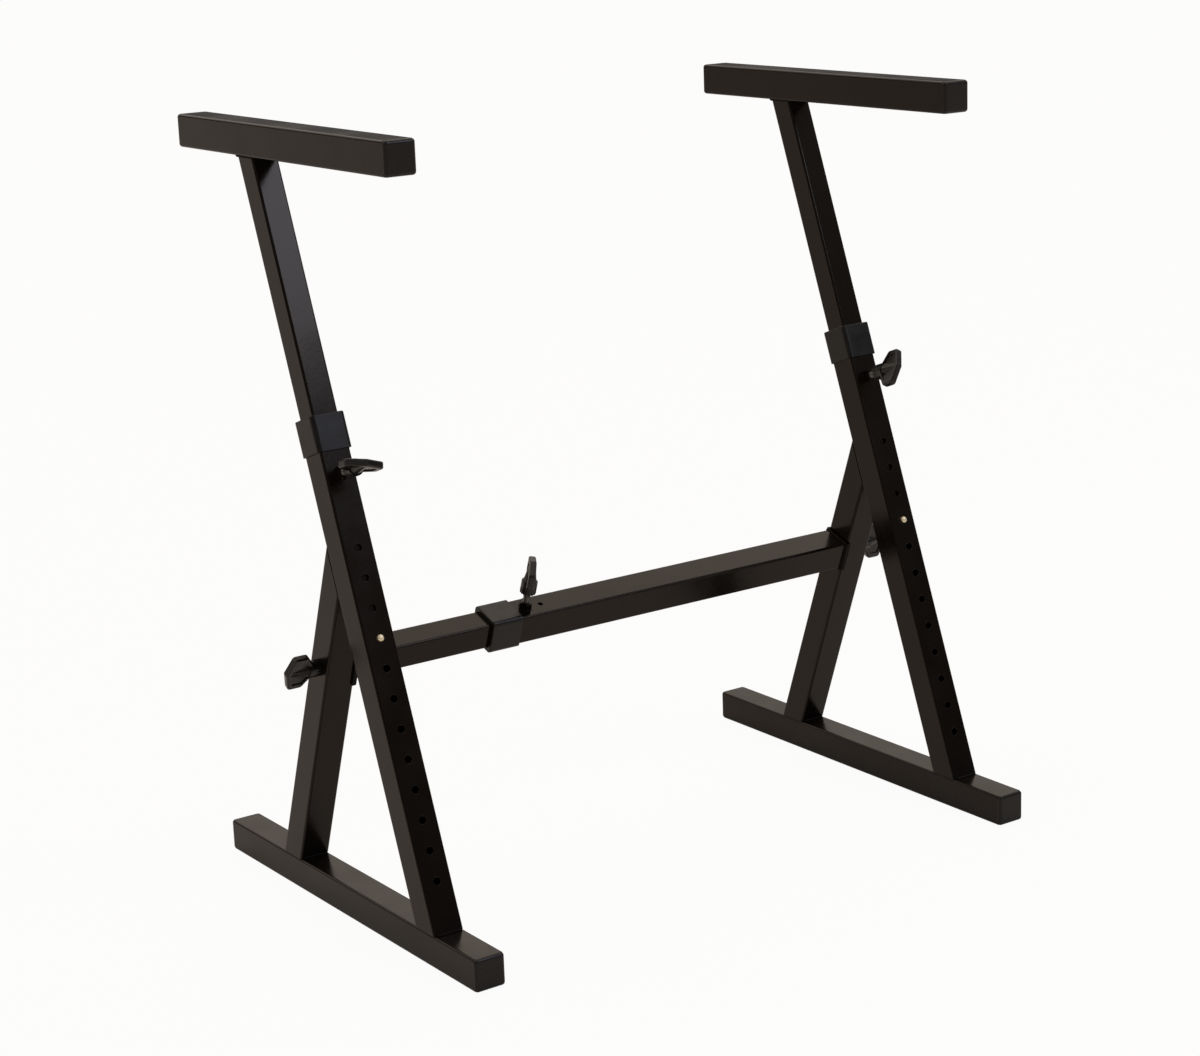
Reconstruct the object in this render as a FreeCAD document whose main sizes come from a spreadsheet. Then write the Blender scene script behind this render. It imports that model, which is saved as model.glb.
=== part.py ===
import FreeCAD, Part
import math
import os
import Sketcher

# A z-style keyboard stand: two welded side frames joined by a telescoping crossbar. Each frame is a
# foot, a front leg leaning back, a rear leg leaning forward, and a telescoping post with an arm on
# top. Lengths are millimetres, angles degrees; +X is the stand's right, +Y its back and +Z up.

SIZES = {
    # Square steel tube: the outer size for feet, legs and arms, the inner one slides inside it
    "outer_tube": 35,
    "inner_tube": 30,
    "tube_wall": 1.5,
    "tube_corner": 2.5,
    # Side frame
    "frame_spacing": 707,
    "foot_length": 515,
    "leg_lean": 20.3,
    "front_leg_setback": 76,
    "rear_leg_setback": 125,
    "front_leg_length": 533,
    # Row of height holes down the front wall of the front leg
    "hole_diameter": 8,
    "hole_count": 12,
    "first_hole_drop": 138,
    "lowest_hole_height": 47.5,
    "lowered_step_count": 3,
    # Post and arm
    "post_length": 540,
    "post_tail": 26,
    "arm_length": 433,
    "arm_rear_reach": 145,
    # Crossbar: its drop below the legs' meeting, then from the left end bracket to the collar and on
    # to the clamp
    "crossbar_drop": 120,
    "crossbar_shown_length": 167,
    "crossbar_inner_length": 470,
    "crossbar_clamp_setback": 52.5,
    "crossbar_vent_diameter": 6,
    "crossbar_vent_offset": 20.5,
    # Plastic plug in the ends of feet and arms
    "cap_head": 4.5,
    "cap_corner": 3.6,
    "cap_rounding": 3.5,
    "cap_depth": 18,
    "cap_wall": 2,
    "cap_gap": 0.15,
    "fin_depth": 1.6,
    "fin_thickness": 1.2,
    "fin_pitch": 4,
    "fin_count": 3,
    # Plastic collar on the mouth of an outer tube
    "collar_width": 40,
    "collar_skirt": 35,
    "collar_lip": 3.2,
    "collar_sleeve": 32,
    "collar_gap": 0.1,
    "collar_rounding": 1.2,
    "slide_gap": 0.3,
    # Snap button and the leaf spring behind it
    "button_diameter": 7.5,
    "button_hole_diameter": 7.7,
    "button_height": 4.7,
    "button_dome": 2.7,
    "button_flange_diameter": 11,
    "button_flange": 1.5,
    "button_wall": 1,
    "spring_leaf": 0.8,
    "spring_width": 10,
    "spring_tail": 8,
    "spring_length": 44,
    "spring_gap": 0.1,
    # Threaded clamps
    "thread_diameter": 8,
    "thread_gap": 0.05,
    "thread_point": 1,
    "screw_hole_diameter": 8.5,
    "screw_tip_gap": 0.1,
    "screw_head": 5.3,
    "screw_end": 2,
    "nut_width": 13,
    "leg_nut_height": 8,
    "end_nut_height": 6.5,
    "nut_chamfer": 1,
    "clamp_drop": 60,
    "clamp_standoff": 20.5,
    # Moulded paddle knob, heights measured from the foot of its hub
    "knob_hub_diameter": 18,
    "knob_hub_length": 14,
    "knob_spine_root": 15,
    "knob_spine_tip": 7,
    "knob_spine_end": 36,
    "knob_wing_root": 2.5,
    "knob_wing_shoulder": 17.7,
    "knob_wing_eave": 33.4,
    "knob_peak": 39.7,
    "knob_width": 43.7,
    "knob_thickness": 8,
    "knob_corner": 4,
    "knob_edge": 2,
    "knob_recess": 1.2,
    "panel_share": 0.72,
    "knob_socket_gap": 0.05,
    "flute_diameter": 2,
    "flute_length": 7,
    "flute_count": 16,
    # End bracket between the crossbar and a rear leg
    "bracket_plate": 2.5,
    "bracket_gap": 0.1,
    "bracket_height": 37,
    "bracket_lip": 3.3,
    "bracket_bend": 1.8,
    # Angle of each knob about its own screw, as left by the last tightening
    "left_post_knob_angle": -14,
    "right_post_knob_angle": 60,
    "side_knob_angle": -11,
    "crossbar_knob_angle": 57,
}

# Formulas used by more than one piece
OUTER_BORE = "(Sizes.outer_tube - 2 * Sizes.tube_wall)"
INNER_BORE = "(Sizes.inner_tube - 2 * Sizes.tube_wall)"
BORE_CORNER = "(Sizes.tube_corner - Sizes.tube_wall)"
SLIDE_BORE = "(Sizes.inner_tube + 2 * Sizes.slide_gap)"
HOLE_PITCH = ("((Sizes.front_leg_length - Sizes.first_hole_drop - Sizes.lowest_hole_height)"
              " / (Sizes.hole_count - 1))")
CLAMP_HEIGHT = "(Sizes.front_leg_length - Sizes.clamp_drop)"
LEG_STEP = ("(Sizes.foot_length - Sizes.front_leg_setback - Sizes.rear_leg_setback"
            " - Sizes.outer_tube / cos(Sizes.leg_lean))")
LEG_MEETING = (f"(({LEG_STEP} * cos(Sizes.leg_lean) - Sizes.outer_tube / 2)"
               " / sin(2 * Sizes.leg_lean))")
CROSSBAR_HEIGHT = f"({LEG_MEETING} - Sizes.crossbar_drop)"

NEAR_SHARE = 1e-5
ACROSS = FreeCAD.Vector(1, 0, 0)
BACK = FreeCAD.Vector(0, 1, 0)
UP = FreeCAD.Vector(0, 0, 1)

doc = FreeCAD.newDocument("keyboard_stand")
sheet = doc.addObject("Spreadsheet::Sheet", "Sizes")
for row, (alias, number) in enumerate(SIZES.items(), start=1):
    sheet.set(f"A{row}", alias)
    sheet.set(f"B{row}", str(number))
    sheet.setAlias(f"B{row}", alias)
doc.recompute()


# Reading the sheet

def value_of(formula):
    """Returns the number that a formula on the sheet gives."""
    return float(sheet.evalExpression(formula))


def size(alias):
    """Returns one driving dimension."""
    return float(sheet.get(alias))


def near(first, second):
    """Tells whether two lengths are the same to within rounding."""
    return abs(first - second) < size("outer_tube") * NEAR_SHARE


# Sketches

def new_body(label):
    """Starts one piece."""
    body = doc.addObject("PartDesign::Body", label)
    body.Label = label
    return body


def new_sketch(body, name, plane, lift=None):
    """Starts a sketch on one of the body's own planes, lifted along that plane's normal."""
    sketch = body.newObject("Sketcher::SketchObject", name)
    support = next(item for item in body.Origin.OriginFeatures if item.Role == plane)
    sketch.AttachmentSupport = [(support, "")]
    sketch.MapMode = "FlatFace"
    if lift:
        sketch.setExpression("AttachmentOffset.Base.z", lift)
    return sketch


def tie(sketch, kind, formula, *where):
    """Adds one dimension to a sketch and binds it to a formula."""
    number = sketch.addConstraint(Sketcher.Constraint(kind, *where, value_of(formula)))
    name = f"held_{number}"
    sketch.renameConstraint(number, name)
    sketch.setExpression(f"Constraints.{name}", formula)


def pin(sketch, shape, point, across, along):
    """Holds a point of a sketched shape at two formulas; None puts it on that axis."""
    if across is None:
        sketch.addConstraint(Sketcher.Constraint("PointOnObject", shape, point, -2))
    else:
        tie(sketch, "DistanceX", across, -1, 1, shape, point)
    if along is None:
        sketch.addConstraint(Sketcher.Constraint("PointOnObject", shape, point, -1))
    else:
        tie(sketch, "DistanceY", along, -1, 1, shape, point)


def outline(sketch, corners):
    """Draws a closed polygon through corners that are each held by two formulas."""
    points = []
    for across, along in corners:
        flat = [value_of(formula) if formula else 0 for formula in (across, along)]
        points.append(FreeCAD.Vector(*flat, 0))
    first = sketch.GeometryCount
    count = len(points)
    for index in range(count):
        sketch.addGeometry(Part.LineSegment(points[index], points[(index + 1) % count]))
    for index, (across, along) in enumerate(corners):
        before = first + (index - 1) % count
        sketch.addConstraint(Sketcher.Constraint("Coincident", before, 2, first + index, 1))
        pin(sketch, first + index, 1, across, along)


def circle(sketch, diameter, across=None, along=None):
    """Draws a circle whose centre is held by two formulas."""
    centre = [value_of(formula) if formula else 0 for formula in (across, along)]
    shape = sketch.addGeometry(Part.Circle(FreeCAD.Vector(*centre, 0), UP, value_of(diameter) / 2))
    pin(sketch, shape, 3, across, along)
    tie(sketch, "Diameter", diameter, shape)


def rounded_square(sketch, width, corner):
    """Draws a centred square with round corners."""
    half = value_of(width) / 2
    radius = value_of(corner)
    first = sketch.GeometryCount
    for turn in range(4):
        spin = FreeCAD.Rotation(UP, 90 * turn)
        flat_end = half - radius
        start = spin.multVec(FreeCAD.Vector(half, -flat_end, 0))
        end = spin.multVec(FreeCAD.Vector(half, flat_end, 0))
        centre = spin.multVec(FreeCAD.Vector(flat_end, flat_end, 0))
        angle = math.radians(90 * turn)
        bend = Part.ArcOfCircle(Part.Circle(centre, UP, radius), angle, angle + math.pi / 2)
        sketch.addGeometry(Part.LineSegment(start, end))
        sketch.addGeometry(bend)
    for turn in range(4):
        line = first + 2 * turn
        arc = line + 1
        following = first + (2 * turn + 2) % 8
        sketch.addConstraint(Sketcher.Constraint("Tangent", line, 2, arc, 1))
        sketch.addConstraint(Sketcher.Constraint("Tangent", arc, 2, following, 1))
        sketch.addConstraint(Sketcher.Constraint("Horizontal" if turn % 2 else "Vertical", line))
        sign = "" if turn < 2 else "-"
        kind = "DistanceY" if turn % 2 else "DistanceX"
        tie(sketch, kind, f"{sign}({width}) / 2", -1, 1, line, 1)
        if turn:
            sketch.addConstraint(Sketcher.Constraint("Equal", first + 1, arc))
    tie(sketch, "Radius", corner, first + 1)


# Features

def extrude(body, kind, sketch, length, symmetric=False, backwards=False):
    """Adds a Pad or a Pocket of a sketch."""
    feature = body.newObject(f"PartDesign::{kind}", kind)
    feature.Profile = sketch
    feature.SideType = "Symmetric" if symmetric else "One side"
    feature.Reversed = backwards
    feature.setExpression("Length", length)
    return feature


def revolve(body, kind, sketch):
    """Adds a Revolution or a Groove of a sketch about its upright axis."""
    feature = body.newObject(f"PartDesign::{kind}", kind)
    feature.Profile = sketch
    feature.ReferenceAxis = (sketch, ["V_Axis"])
    return feature


def repeat_along(body, feature, axis, pitch, count):
    """Repeats a feature in a row along an axis of its sketch."""
    row_of = body.newObject("PartDesign::LinearPattern", "Row")
    row_of.Originals = [feature]
    row_of.Direction = (feature.Profile[0], [axis])
    row_of.Mode = "Spacing"
    row_of.setExpression("Offset", pitch)
    row_of.setExpression("Occurrences", count)
    body.Tip = row_of


def repeat_around(body, feature, count):
    """Repeats a feature around the normal of its sketch."""
    ring = body.newObject("PartDesign::PolarPattern", "Ring")
    ring.Originals = [feature]
    ring.Axis = (feature.Profile[0], ["N_Axis"])
    ring.Angle = 360
    ring.setExpression("Occurrences", count)
    body.Tip = ring


def hexagon(body, kind, width, height):
    """Adds or cuts a hexagonal prism that stands on the body's origin."""
    prism = body.newObject(f"PartDesign::{kind}Prism", "Hexagon")
    prism.Polygon = 6
    prism.setExpression("Circumradius", f"({width}) / sqrt(3)")
    prism.setExpression("Height", height)


def round_edges(body, radius, wanted):
    """Rounds those edges of the last feature that a test picks out."""
    doc.recompute()
    base = body.Tip
    names = [f"Edge{n}" for n, edge in enumerate(base.Shape.Edges, start=1) if wanted(edge)]
    feature = body.newObject("PartDesign::Fillet", "Rounding")
    feature.Base = (base, names)
    feature.setExpression("Radius", radius)


def level_edge(edge, height):
    """Tells whether an edge lies flat at a height."""
    return near(edge.BoundBox.ZMin, height) and near(edge.BoundBox.ZMax, height)


def mitre(body, height, slope, beyond):
    """Cuts a tube along a line through its axis at a height, removing all of it up to a level."""
    reach = "Sizes.outer_tube"
    sketch = new_sketch(body, "mitre", "YZ_Plane")
    outline(sketch, [
        (f"-{reach}", f"{height} - {reach} * {slope}"),
        (reach, f"{height} + {reach} * {slope}"),
        (reach, beyond),
        (f"-{reach}", beyond),
    ])
    extrude(body, "Pocket", sketch, f"2 * {reach}", symmetric=True)


def wall_hole(body, plane, height, diameter, backwards):
    """Drills one wall of a tube, from the tube's axis outward."""
    sketch = new_sketch(body, "hole", plane)
    circle(sketch, diameter, None, height)
    return extrude(body, "Pocket", sketch, "Sizes.outer_tube", backwards=backwards)


# Tubes

def square_tube(label, width, length, start=None):
    """Makes a square tube that stands on end."""
    body = new_body(label)
    section = new_sketch(body, "section", "XY_Plane", start)
    rounded_square(section, width, "Sizes.tube_corner")
    rounded_square(section, f"{width} - 2 * Sizes.tube_wall", BORE_CORNER)
    extrude(body, "Pad", section, length)
    return body


def make_front_leg(label):
    """Front leg: cut flat for the foot, with its row of height holes and the clamp screw's hole."""
    start = "-Sizes.outer_tube / 2"
    body = square_tube(label, "Sizes.outer_tube", f"Sizes.front_leg_length - ({start})", start)
    mitre(body, "0", "tan(Sizes.leg_lean)", "-Sizes.outer_tube")
    lowest = wall_hole(body, "XZ_Plane", "Sizes.lowest_hole_height", "Sizes.hole_diameter", True)
    repeat_along(body, lowest, "V_Axis", HOLE_PITCH, "Sizes.hole_count")
    wall_hole(body, "XZ_Plane", CLAMP_HEIGHT, "Sizes.screw_hole_diameter", True)
    return body


def make_rear_leg(label):
    """Rear leg: cut flat for the foot and along the front leg's rear wall, drilled for the side screw."""
    start = "-Sizes.outer_tube / 2"
    top = f"{LEG_MEETING} + 2 * Sizes.outer_tube"
    body = square_tube(label, "Sizes.outer_tube", f"{top} - ({start})", start)
    mitre(body, "0", "-tan(Sizes.leg_lean)", "-Sizes.outer_tube")
    mitre(body, LEG_MEETING, "1 / tan(2 * Sizes.leg_lean)", f"{top} + Sizes.outer_tube")
    drill = new_sketch(body, "drill", "YZ_Plane")
    circle(drill, "Sizes.screw_hole_diameter", None, CROSSBAR_HEIGHT)
    extrude(body, "Pocket", drill, "2 * Sizes.outer_tube", symmetric=True)
    return body


def make_post(label):
    """Post: drilled for the snap button near its foot and mitred level under the arm."""
    spare = "Sizes.post_length + Sizes.outer_tube"
    body = square_tube(label, "Sizes.inner_tube", spare)
    mitre(body, "Sizes.post_length", "tan(Sizes.leg_lean)", f"{spare} + Sizes.outer_tube")
    wall_hole(body, "XZ_Plane", "Sizes.post_tail", "Sizes.button_hole_diameter", True)
    return body


def make_crossbar_outer(label, length):
    """Crossbar outer tube: drilled in its upper wall for the clamp screw and a small vent."""
    body = square_tube(label, "Sizes.outer_tube", length)
    clamp = "Sizes.crossbar_clamp_setback - Sizes.collar_lip"
    vent = f"{clamp} + Sizes.crossbar_vent_offset"
    wall_hole(body, "YZ_Plane", clamp, "Sizes.screw_hole_diameter", False)
    wall_hole(body, "YZ_Plane", vent, "Sizes.crossbar_vent_diameter", False)
    return body


# Plastic fittings

def make_cap(label):
    """End plug: rounded head outside the tube, finned hollow core inside it."""
    body = new_body(label)
    head = new_sketch(body, "head", "XY_Plane")
    rounded_square(head, "Sizes.outer_tube", "Sizes.cap_corner")
    extrude(body, "Pad", head, "Sizes.cap_head", backwards=True)
    face = -size("cap_head")
    round_edges(body, "Sizes.cap_rounding", lambda edge: level_edge(edge, face))
    core_width = f"{OUTER_BORE} - 2 * Sizes.fin_depth"
    core = new_sketch(body, "core", "XY_Plane")
    rounded_square(core, core_width, BORE_CORNER)
    extrude(body, "Pad", core, "Sizes.cap_depth")
    fin = new_sketch(body, "fin", "XY_Plane", "Sizes.fin_pitch")
    rounded_square(fin, f"{OUTER_BORE} - 2 * Sizes.cap_gap", BORE_CORNER)
    first_fin = extrude(body, "Pad", fin, "Sizes.fin_thickness")
    repeat_along(body, first_fin, "N_Axis", "Sizes.fin_pitch", "Sizes.fin_count")
    hollow = new_sketch(body, "hollow", "XY_Plane", "Sizes.cap_depth")
    rounded_square(hollow, f"{core_width} - 2 * Sizes.cap_wall", BORE_CORNER)
    extrude(body, "Pocket", hollow, "Sizes.cap_depth")
    return body


def make_collar(label):
    """Tube collar: skirt outside the tube's mouth, lip over its end, thin sleeve for the inner tube."""
    body = new_body(label)
    outside_corner = "Sizes.tube_corner + (Sizes.collar_width - Sizes.outer_tube) / 2"
    skirt = new_sketch(body, "skirt", "XY_Plane")
    rounded_square(skirt, "Sizes.collar_width", outside_corner)
    rounded_square(skirt, "Sizes.outer_tube + 2 * Sizes.collar_gap", "Sizes.tube_corner")
    extrude(body, "Pad", skirt, "Sizes.collar_skirt", backwards=True)
    lip = new_sketch(body, "lip", "XY_Plane")
    rounded_square(lip, "Sizes.collar_width", outside_corner)
    rounded_square(lip, SLIDE_BORE, "Sizes.tube_corner")
    extrude(body, "Pad", lip, "Sizes.collar_lip")
    sleeve = new_sketch(body, "sleeve", "XY_Plane")
    rounded_square(sleeve, f"{OUTER_BORE} - 2 * Sizes.collar_gap", "Sizes.tube_corner")
    rounded_square(sleeve, SLIDE_BORE, "Sizes.tube_corner")
    extrude(body, "Pad", sleeve, "Sizes.collar_sleeve", backwards=True)
    top = size("collar_lip")
    reach = size("outer_tube") / 2

    def on_outer_rim(edge):
        box = edge.BoundBox
        outside = max(abs(box.XMin), abs(box.XMax), abs(box.YMin), abs(box.YMax)) > reach
        return outside and level_edge(edge, top)

    round_edges(body, "Sizes.collar_rounding", on_outer_rim)
    return body


def make_knob(label):
    """Paddle knob: dished wings around a tapering spine, fluted hub, hexagon socket for the screw."""
    body = new_body(label)
    middle = "(Sizes.knob_wing_root + Sizes.knob_peak) / 2"
    half_width = "Sizes.knob_width / 2"
    wing = [
        (None, "Sizes.knob_wing_root"),
        (half_width, "Sizes.knob_wing_shoulder"),
        (half_width, "Sizes.knob_wing_eave"),
        (None, "Sizes.knob_peak"),
        (f"-{half_width}", "Sizes.knob_wing_eave"),
        (f"-{half_width}", "Sizes.knob_wing_shoulder"),
    ]
    paddle = new_sketch(body, "paddle", "XZ_Plane")
    outline(paddle, wing)
    extrude(body, "Pad", paddle, "Sizes.knob_thickness", symmetric=True)
    side = size("knob_width") / 2
    face = size("knob_thickness") / 2

    def on_wing_tip(edge):
        box = edge.BoundBox
        return near(box.XMin, box.XMax) and near(abs(box.XMin), side) and near(box.ZMin, box.ZMax)

    def on_wing_face(edge):
        box = edge.BoundBox
        return near(box.YMin, box.YMax) and near(abs(box.YMin), face)

    round_edges(body, "Sizes.knob_corner", on_wing_tip)
    round_edges(body, "Sizes.knob_edge", on_wing_face)
    for sign, backwards in (("", False), ("-", True)):
        dish = new_sketch(body, "dish", "XZ_Plane", f"{sign}Sizes.knob_thickness / 2")
        outline(dish, [
            (across and f"{across} * Sizes.panel_share",
             f"{middle} + ({along} - {middle}) * Sizes.panel_share")
            for across, along in wing
        ])
        extrude(body, "Pocket", dish, "Sizes.knob_recess", backwards=backwards)
    hub_radius = "Sizes.knob_hub_diameter / 2"
    hub = new_sketch(body, "hub", "XZ_Plane")
    outline(hub, [
        (None, None),
        (hub_radius, None),
        (hub_radius, "Sizes.knob_hub_length"),
        ("Sizes.knob_spine_root / 2", "Sizes.knob_hub_length"),
        ("Sizes.knob_spine_tip / 2", "Sizes.knob_spine_end"),
        (None, "Sizes.knob_spine_end"),
    ])
    revolve(body, "Revolution", hub)
    flute = new_sketch(body, "flute", "XY_Plane")
    circle(flute, "Sizes.flute_diameter", hub_radius)
    first_flute = extrude(body, "Pocket", flute, "Sizes.flute_length", backwards=True)
    repeat_around(body, first_flute, "Sizes.flute_count")
    socket_width = "Sizes.nut_width + 2 * Sizes.knob_socket_gap"
    hexagon(body, "Subtractive", socket_width, "Sizes.screw_head + Sizes.knob_socket_gap")
    return body


# Steel fittings

def make_nut(label, height):
    """Weld nut: hexagon with a bored thread and chamfered corners on its free end."""
    body = new_body(label)
    hexagon(body, "Additive", "Sizes.nut_width", height)
    bore = new_sketch(body, "bore", "XY_Plane")
    circle(bore, "Sizes.thread_diameter + 2 * Sizes.thread_gap")
    extrude(body, "Pocket", bore, height, backwards=True)
    corner = "Sizes.nut_width / sqrt(3)"
    chamfer = new_sketch(body, "chamfer", "XZ_Plane")
    outline(chamfer, [
        (f"{corner} - Sizes.nut_chamfer", height),
        (f"{corner} + Sizes.nut_chamfer", height),
        (f"{corner} + Sizes.nut_chamfer", f"{height} - Sizes.nut_chamfer"),
    ])
    revolve(body, "Groove", chamfer)
    return body


def make_screw(label, length):
    """Knob screw: hexagon head held in the knob, stud with a chamfered point below it."""
    body = new_body(label)
    hexagon(body, "Additive", "Sizes.nut_width", "Sizes.screw_head")
    radius = "Sizes.thread_diameter / 2"
    stud = new_sketch(body, "stud", "XZ_Plane")
    outline(stud, [
        (None, None),
        (radius, None),
        (radius, f"Sizes.thread_point - ({length})"),
        (f"{radius} - Sizes.thread_point", f"-({length})"),
        (None, f"-({length})"),
    ])
    revolve(body, "Revolution", stud)
    return body


def make_bracket(label):
    """End bracket: plate across the leg's inner wall with two short lips around the leg."""
    body = new_body(label)
    inside = "Sizes.outer_tube / 2 + Sizes.bracket_gap"
    outside = f"{inside} + Sizes.bracket_plate"
    tall = "Sizes.bracket_height / 2"
    plate = new_sketch(body, "plate", "XY_Plane")
    outline(plate, [
        (f"-{tall}", f"-({outside})"), (tall, f"-({outside})"),
        (tall, outside), (f"-{tall}", outside),
    ])
    circle(plate, "Sizes.screw_hole_diameter")
    extrude(body, "Pad", plate, "Sizes.bracket_plate")
    for sign in ("", "-"):
        lip = new_sketch(body, "lip", "XY_Plane")
        outline(lip, [
            (f"-{tall}", f"{sign}({inside})"), (tall, f"{sign}({inside})"),
            (tall, f"{sign}({outside})"), (f"-{tall}", f"{sign}({outside})"),
        ])
        extrude(body, "Pad", lip, "Sizes.bracket_lip", backwards=True)
    side = value_of(outside)
    front = size("bracket_plate")

    def on_bend(edge):
        box = edge.BoundBox
        return level_edge(edge, front) and near(box.YMin, box.YMax) and near(abs(box.YMin), side)

    round_edges(body, "Sizes.bracket_bend", on_bend)
    return body


def make_button(label):
    """Snap button: domed cup with a flange that stops it inside the post."""
    body = new_body(label)
    flange_top = f"{INNER_BORE} / 2 - Sizes.slide_gap"
    flange_foot = f"{flange_top} - Sizes.button_flange"
    crown = "Sizes.outer_tube / 2 + Sizes.button_height"
    radius = "Sizes.button_diameter / 2"
    flange_radius = "Sizes.button_flange_diameter / 2"
    cup = new_sketch(body, "cup", "XZ_Plane")
    outline(cup, [
        (None, flange_foot), (flange_radius, flange_foot), (flange_radius, flange_top),
        (radius, flange_top), (radius, crown), (None, crown),
    ])
    revolve(body, "Revolution", cup)
    top = value_of(crown)
    round_edges(body, "Sizes.button_dome", lambda edge: level_edge(edge, top))
    hollow = new_sketch(body, "hollow", "XY_Plane", flange_foot)
    circle(hollow, "Sizes.button_diameter - 2 * Sizes.button_wall")
    depth = f"{crown} - Sizes.button_dome - ({flange_foot})"
    extrude(body, "Pocket", hollow, depth, backwards=True)
    return body


def make_spring(label):
    """Button spring: leaf bent over at its top, one limb behind the button and one on the rear wall."""
    body = new_body(label)
    flange_foot = f"({INNER_BORE} / 2 - Sizes.slide_gap - Sizes.button_flange)"
    front = f"(Sizes.spring_gap - {flange_foot})"
    rear = f"({INNER_BORE} / 2 - Sizes.spring_gap)"
    middle = f"(({front} + {rear}) / 2)"
    bend = f"(({rear} - {front}) / 2)"
    leaf = new_sketch(body, "leaf", "YZ_Plane")
    centre = FreeCAD.Vector(value_of(middle), size("spring_length"), 0)
    tail = -size("spring_tail")
    limb_ends = []
    for radius in (value_of(bend), value_of(bend) - size("spring_leaf")):
        left = FreeCAD.Vector(centre.x - radius, centre.y, 0)
        right = FreeCAD.Vector(centre.x + radius, centre.y, 0)
        front_limb = leaf.addGeometry(Part.LineSegment(FreeCAD.Vector(left.x, tail, 0), left))
        rear_limb = leaf.addGeometry(Part.LineSegment(right, FreeCAD.Vector(right.x, tail, 0)))
        arch = leaf.addGeometry(Part.ArcOfCircle(Part.Circle(centre, UP, radius), 0, math.pi))
        leaf.addConstraint(Sketcher.Constraint("Tangent", front_limb, 2, arch, 2))
        leaf.addConstraint(Sketcher.Constraint("Tangent", arch, 1, rear_limb, 1))
        leaf.addConstraint(Sketcher.Constraint("Vertical", front_limb))
        pin(leaf, arch, 3, middle, "Sizes.spring_length")
        limb_ends.append((front_limb, rear_limb, arch))
    (front_out, rear_out, arch_out), (front_in, rear_in, arch_in) = limb_ends
    tie(leaf, "Radius", bend, arch_out)
    tie(leaf, "Radius", f"{bend} - Sizes.spring_leaf", arch_in)
    for outer, outer_end, inner, inner_end in ((front_out, 1, front_in, 1), (rear_out, 2, rear_in, 2)):
        first = FreeCAD.Vector(leaf.getPoint(outer, outer_end))
        second = FreeCAD.Vector(leaf.getPoint(inner, inner_end))
        closing = leaf.addGeometry(Part.LineSegment(first, second))
        leaf.addConstraint(Sketcher.Constraint("Coincident", closing, 1, outer, outer_end))
        leaf.addConstraint(Sketcher.Constraint("Coincident", closing, 2, inner, inner_end))
        leaf.addConstraint(Sketcher.Constraint("Horizontal", closing))
        tie(leaf, "DistanceY", "-Sizes.spring_tail", -1, 1, outer, outer_end)
    extrude(body, "Pad", leaf, "Sizes.spring_width", symmetric=True)
    return body


# Where the pieces stand

def placed(frame, body, offset, axis=UP, angle=0, turn=0):
    """Puts a piece into a frame: shifted, tilted about an axis, then turned about its own upright."""
    tilt = FreeCAD.Rotation(axis, angle).multiply(FreeCAD.Rotation(UP, turn))
    body.Placement = frame.multiply(FreeCAD.Placement(FreeCAD.Vector(*offset), tilt))


half_tube = size("outer_tube") / 2
lean = size("leg_lean")
lean_radians = math.radians(lean)
half_leg_print = half_tube / math.cos(lean_radians)
button_height = (size("front_leg_length") - size("first_hole_drop")
                 - size("lowered_step_count") * value_of(HOLE_PITCH))
post_foot = button_height - size("post_tail")
post_top = post_foot + size("post_length")
arm_underside = size("outer_tube") + post_top * math.cos(lean_radians)
front_leg_start = size("front_leg_setback") + half_leg_print
arm_rear = front_leg_start + post_top * math.sin(lean_radians) + size("arm_rear_reach")
foot_front = -max(size("foot_length"), arm_rear) / 2
foot_rear = foot_front + size("foot_length")
arm_rear = foot_front + arm_rear
arm_front = arm_rear - size("arm_length")
front_leg_y = foot_front + front_leg_start
rear_leg_y = foot_rear - size("rear_leg_setback") - half_leg_print
clamp_height = value_of(CLAMP_HEIGHT)
crossbar_height = value_of(CROSSBAR_HEIGHT)
bracket_depth = size("bracket_gap") + size("bracket_plate")
half_spacing = size("frame_spacing") / 2
crossbar_end = half_spacing - half_tube - bracket_depth
collar_end = -crossbar_end + size("crossbar_shown_length")
outer_start = collar_end + size("collar_lip")
clamp_reach = "Sizes.clamp_standoff + (Sizes.outer_tube - Sizes.inner_tube) / 2 - Sizes.screw_tip_gap"
side_reach = ("Sizes.slide_gap + Sizes.outer_tube + Sizes.bracket_gap + Sizes.bracket_plate"
              " + Sizes.end_nut_height + Sizes.screw_end")


def lay_tube(name, x, front, rear, height):
    """Lays a tube with its two end caps from front to back."""
    head = size("cap_head")
    length = "arm_length" if name.endswith("arm") else "foot_length"
    tube = square_tube(name, "Sizes.outer_tube", f"Sizes.{length} - 2 * Sizes.cap_head")
    world = FreeCAD.Placement()
    placed(world, tube, (x, front + head, height), ACROSS, -90)
    placed(world, make_cap(f"{name}_front_cap"), (x, front + head, height), ACROSS, -90)
    placed(world, make_cap(f"{name}_rear_cap"), (x, rear - head, height), ACROSS, 90)


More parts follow.
